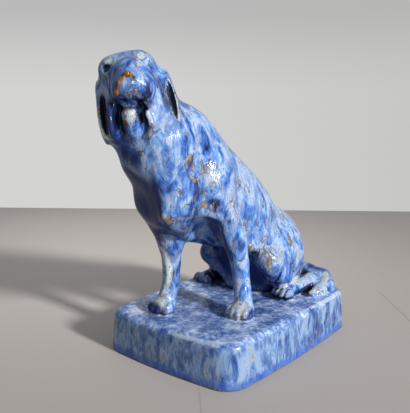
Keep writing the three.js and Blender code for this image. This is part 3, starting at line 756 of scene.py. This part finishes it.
# The breaks: ochre drops with a brown outline, cream where it ran thin, and orange on the nose.
drops = noise(stretched(1, 1, 0.62, (0.05, 0.2, 0.1)), 135, 2.5, 0.5, 1.2)
warmth = noise(flow, 240, 3, 0.6, 0.5)
grains = noise(flow, 420, 4, 0.65, 0.8)
thin = plus(drops, times(reading("tan"), 0.165))
thin = plus(thin, times(fade(reading("crest"), 0.12, 0.5), 0.07))
warm = ramp(
    warmth, (0.34, BROWN), (0.42, OCHRE), (0.52, (0.25, 0.21, 0.135)), (0.58, LAVENDER),
    (0.66, (0.4, 0.45, 0.52)))
outline = times(fade(thin, 0.61, 0.65), fade(thin, 0.69, 0.66))
coloured = mixed(times(outline, 0.75), blues, BROWN)
coloured = mixed(times(fade(thin, 0.655, 0.69), 0.85), coloured, warm)
cream_share = plus(reading("cream"), times(grains, 1.1))
cream_tone = ramp(
    grains, (0.28, BROWN), (0.35, OCHRE), (0.41, (0.4, 0.37, 0.25)), (0.47, CREAM),
    (0.55, (0.38, 0.49, 0.64)), (0.64, BRIGHT_AZURE))
coloured = mixed(fade(cream_share, 0.86, 0.98, 0, 0.6), coloured, OCHRE)
coloured = mixed(fade(cream_share, 0.96, 1.1, 0, 0.9), coloured, cream_tone)
# The brightest cream goes to a milky white, which on the stripe down the right foreleg is partly a painted
# glint.
coloured = mixed(fade(cream_share, 1.6, 2.1, 0, 0.85), coloured, MILKY_GLINT)
nose_tone = ramp(
    grains, (0.42, BROWN), (0.49, RUST), (0.57, (0.3, 0.15, 0.05)), (0.64, (0.3, 0.29, 0.32)))
coloured = mixed(fade(reading("orange"), 0.1, 0.6), coloured, nose_tone)

# Painted shade: navy where shade falls, broken by the mottle, and in the hollows, where it is also pooled
# glaze; and fine dark specks all over.
# The painted shade mask is mixed with the random mottle before it darkens the glaze.
painted_shade_and_mottle = plus(reading("painted_shade"), times(wander, 0.5))
coloured = mixed(fade(painted_shade_and_mottle, 0.42, 1.0, 0, 0.96), coloured, PAINTED_SHADE_NAVY)
coloured = mixed(times(fade(reading("hollow"), 0.42, 0.8), 0.94), coloured, NAVY)
specks = fade(noise(flow, 620, 2, 0.5, 0.4), 0.64, 0.72, 0, 0.6)
coloured = mixed(specks, coloured, NAVY)

# On the plinth it ran down the sides in stripes to a blue band at the foot, and lies finely mottled
# on the top, with ochre specks on both and a worn cream rim. The underside is bare clay.
above_ground = node("ShaderNodeSeparateXYZ")
wire(place, above_ground.inputs[0])
height = above_ground.outputs["Z"]
runs = noise(stretched(1, 1, 0.32), 230, 6, 0.72, 0.8)
side_colour = ramp(
    plus(times(runs, 0.6), times(wander, 0.4)), (0.37, (0.02, 0.045, 0.16)),
    (0.43, (0.045, 0.095, 0.25)), (0.49, (0.1, 0.18, 0.37)), (0.56, (0.23, 0.35, 0.54)),
    (0.62, (0.23, 0.25, 0.27)), (0.68, OCHRE))
foot_band = fade(plus(height, times(runs, 0.008)), 0.0125, 0.0075)
side_colour = mixed(times(foot_band, 0.9), side_colour, (0.035, 0.1, 0.37))
side_colour = mixed(fade(thin, 0.64, 0.69, 0, 0.6), side_colour, (0.2, 0.18, 0.14))
coloured = mixed(times(reading("plinth_side"), 0.85), coloured, side_colour)
top_mottle = plus(times(noise(place, 330, 7, 0.75, 0.5), 0.6), times(noise(place, 85, 2, 0.5, 0.3), 0.4))
top_colour = ramp(
    top_mottle, (0.39, COBALT), (0.44, (0.06, 0.12, 0.33)), (0.49, (0.14, 0.23, 0.51)),
    (0.54, (0.3, 0.4, 0.64)), (0.59, (0.6, 0.68, 0.8)))
coloured = mixed(times(reading("plinth_top"), 0.85), coloured, top_colour)
ochre_specks = fade(noise(place, 300, 2, 0.5, 0.6), 0.64, 0.7, 0, 0.6)
on_plinth = sums("MAXIMUM", reading("plinth_side"), reading("plinth_top"))
coloured = mixed(times(ochre_specks, on_plinth), coloured, (0.2, 0.17, 0.09))
rim_share = plus(times(reading("rim"), 0.62), times(grains, 1.1))
coloured = mixed(fade(rim_share, 1.0, 1.16, 0, 0.85), coloured, cream_tone)
underside = fade(height, 0.0006, 0.0001)
coloured = mixed(underside, coloured, BARE_CLAY)

# Its surface: glassy, with the soft waves of a thick running glaze.
surface = node("ShaderNodeBsdfPrincipled")
wire(coloured, surface.inputs["Base Color"])
gloss = fade(noise(flow, 160, 3), 0.3, 0.7, 0.1, 0.24)
matt = sums("MAXIMUM", times(underside, 0.8), times(reading("dull"), 0.6))
wire(sums("MAXIMUM", gloss, matt), surface.inputs["Roughness"])
surface.inputs["IOR"].default_value = 1.52
surface.inputs["Specular IOR Level"].default_value = 0.2
surface.inputs["Coat Weight"].default_value = 0.06
surface.inputs["Coat Roughness"].default_value = 0.06
waves = node("ShaderNodeBump")
waves.inputs["Strength"].default_value = 0.45
waves.inputs["Distance"].default_value = 0.0014
wire(plus(noise(flow, 115, 3, 0.5, 0.4), times(streaks, 0.3)), waves.inputs["Height"])
wire(waves.outputs["Normal"], surface.inputs["Normal"])
wire(surface.outputs["BSDF"], node("ShaderNodeOutputMaterial").inputs["Surface"])
casting_mesh.materials.append(glaze)

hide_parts("hound_on_plinth")
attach(casting, "root")

# The camera: at the photograph's viewing angle, a little above the dog and to its left front.
CAMERA_PLACE = (0.260435, -0.347481, 0.182839)
CAMERA_RIGHT = (0.76999, 0.63806, 0)
CAMERA_UP = (-0.11984, 0.14462, 0.98220)
CAMERA_BACK = (0.62671, -0.75628, 0.18782)
SENSOR_HEIGHT = 36
FOCAL_LENGTH, PICTURE_HEIGHT = 600, 413


def placed(axes, at):
    return Matrix([[*row, where] for row, where in zip(np.stack(axes, 1), at)] + [[0, 0, 0, 1]])


camera_data = bpy.data.cameras.new("camera")
camera_data.sensor_fit = "VERTICAL"
camera_data.sensor_height = SENSOR_HEIGHT
camera_data.lens = FOCAL_LENGTH / PICTURE_HEIGHT * SENSOR_HEIGHT
camera_data.clip_start = 0.01
camera = bpy.data.objects.new("camera", camera_data)
camera.matrix_world = placed([CAMERA_RIGHT, CAMERA_UP, CAMERA_BACK], CAMERA_PLACE)
bpy.context.collection.objects.link(camera)
bpy.context.scene.camera = camera
bpy.context.scene.view_settings.view_transform = "Standard"

# The table top that the figurine stands on: a plain pale grey-beige sheet that ends behind it, with a painted
# pool of light behind the dog that fades darker further out, and two hairline seams across it.
BACK_EDGE_LEFT, BACK_EDGE_RIGHT = np.array([-0.598, 0.172]), np.array([-0.078, 0.560])
FLOOR_REACH = 2.6
TABLE_COLOUR = (0.5, 0.455, 0.42)
TABLE_ROUGHNESS = 0.75
LIGHT_POOL_CENTRE, LIGHT_POOL_REACH, LIGHT_POOL_TONE, OUTSIDE_LIGHT_POOL_TONE = (-0.278, 0.088, 0), 0.5, 1.26, 0.64
SEAM_WAY, SEAM_ACROSS = (0.68, -0.733, 0), (0.733, 0.68, 0)
SEAM_HALF_WIDTH = 0.0009
SEAM_OFFSETS, SEAM_STARTS, SEAM_DARKNESS = (0.1465, -0.0298), (-0.0888, 0.083), (0.34, 0.2)

along_edge = (BACK_EDGE_RIGHT - BACK_EDGE_LEFT) / np.linalg.norm(BACK_EDGE_RIGHT - BACK_EDGE_LEFT)
to_front = np.array([along_edge[1], -along_edge[0]])
edge_middle = (BACK_EDGE_LEFT + BACK_EDGE_RIGHT) / 2
floor_corners = []
for forwards, across in ((0, -1), (1.6, -1), (1.6, 1), (0, 1)):
    x, y = edge_middle + to_front * forwards * FLOOR_REACH + along_edge * across * FLOOR_REACH
    floor_corners.append((x, y, 0))
floor_mesh = bpy.data.meshes.new("floor")
floor_mesh.from_pydata(floor_corners, [], [(0, 1, 2, 3)])
floor = bpy.data.objects.new("floor", floor_mesh)
bpy.context.collection.objects.link(floor)


def vector_sums(operation, vector, other):
    made = node("ShaderNodeVectorMath", operation=operation)
    wire(vector, made.inputs[0])
    made.inputs[1].default_value = other
    return made.outputs["Value"]


table_paint = bpy.data.materials.new("pale_table")
table_paint.use_nodes = True
tree = table_paint.node_tree
table_place = node("ShaderNodeTexCoord").outputs["Object"]
# Painted light: the table colour is brighter in a pool behind the dog and darker further out.
light_pool_and_seams = fade(vector_sums("DISTANCE", table_place, LIGHT_POOL_CENTRE), 0, LIGHT_POOL_REACH, LIGHT_POOL_TONE, OUTSIDE_LIGHT_POOL_TONE)
across_seams = vector_sums("DOT_PRODUCT", table_place, SEAM_ACROSS)
along_seams = vector_sums("DOT_PRODUCT", table_place, SEAM_WAY)
for offset, start, darkness in zip(SEAM_OFFSETS, SEAM_STARTS, SEAM_DARKNESS):
    off = sums("ABSOLUTE", sums("SUBTRACT", across_seams, offset))
    inside = sums("MAXIMUM", sums("SUBTRACT", 1, sums("DIVIDE", off, SEAM_HALF_WIDTH)), 0)
    seam = times(inside, sums("GREATER_THAN", along_seams, start))
    light_pool_and_seams = times(light_pool_and_seams, sums("SUBTRACT", 1, times(seam, darkness)))
tinted = node("ShaderNodeVectorMath", operation="SCALE")
tinted.inputs[0].default_value = TABLE_COLOUR
wire(light_pool_and_seams, tinted.inputs["Scale"])
table_surface = tree.nodes["Principled BSDF"]
wire(tinted.outputs["Vector"], table_surface.inputs["Base Color"])
table_surface.inputs["Roughness"].default_value = TABLE_ROUGHNESS
floor_mesh.materials.append(table_paint)

# The room: a pale studio wall behind the table, a little cooler and darker upwards and to the right,
# and dim surroundings on the other sides as fill.
WALL_WAY = (-0.638, 0.77, 0)
world = bpy.data.worlds.new("studio")
bpy.context.scene.world = world
world.use_nodes = True
tree = world.node_tree
direction = node("ShaderNodeTexCoord").outputs["Generated"]
parts = node("ShaderNodeSeparateXYZ")
wire(direction, parts.inputs[0])
upwards = parts.outputs["Z"]
wall_left = ramp(
    upwards, (0.0, (0.65, 0.65, 0.645)), (0.05, (0.6, 0.6, 0.595)), (0.12, (0.49, 0.49, 0.49)),
    (0.45, (0.38, 0.39, 0.41)))
wall_right = ramp(
    upwards, (0.0, (0.57, 0.575, 0.55)), (0.05, (0.54, 0.545, 0.53)), (0.12, (0.47, 0.475, 0.46)),
    (0.45, (0.37, 0.38, 0.4)))
room = ramp(upwards, (0.0, (0.15, 0.15, 0.155)), (0.35, (0.2, 0.2, 0.21)), (0.8, (0.46, 0.47, 0.49)))
rightwards = fade(vector_sums("DOT_PRODUCT", direction, CAMERA_RIGHT), -0.1, 0.32, kind="LINEAR")
wall = mixed(rightwards, wall_left, wall_right)
on_wall = ramp(vector_sums("DOT_PRODUCT", direction, WALL_WAY), (0.72, (0, 0, 0)), (0.92, (1, 1, 1)))
wire(mixed(on_wall, room, wall), tree.nodes["Background"].inputs["Color"])
tree.nodes["Background"].inputs["Strength"].default_value = 1.0

# The light: one small softbox high at the dog's left, aimed at its chest, that throws its shadow over
# the table towards the dog's right.
LAMP_PLACE, LAMP_AIM = (1.72, -0.15, 0.833), (0, 0, 0.1)
LAMP_WIDTH, LAMP_HEIGHT, LAMP_WATTS = 0.18, 0.24, 52

lamp = bpy.data.lights.new("window", "AREA")
lamp.shape = "RECTANGLE"
lamp.size, lamp.size_y = LAMP_WIDTH, LAMP_HEIGHT
lamp.energy = LAMP_WATTS
softbox = bpy.data.objects.new("window", lamp)
back = np.array(LAMP_PLACE) - LAMP_AIM
back /= np.linalg.norm(back)
right = np.cross((0, 0, 1), back)
right /= np.linalg.norm(right)
softbox.matrix_world = placed([right, np.cross(back, right), back], LAMP_PLACE)
bpy.context.collection.objects.link(softbox)
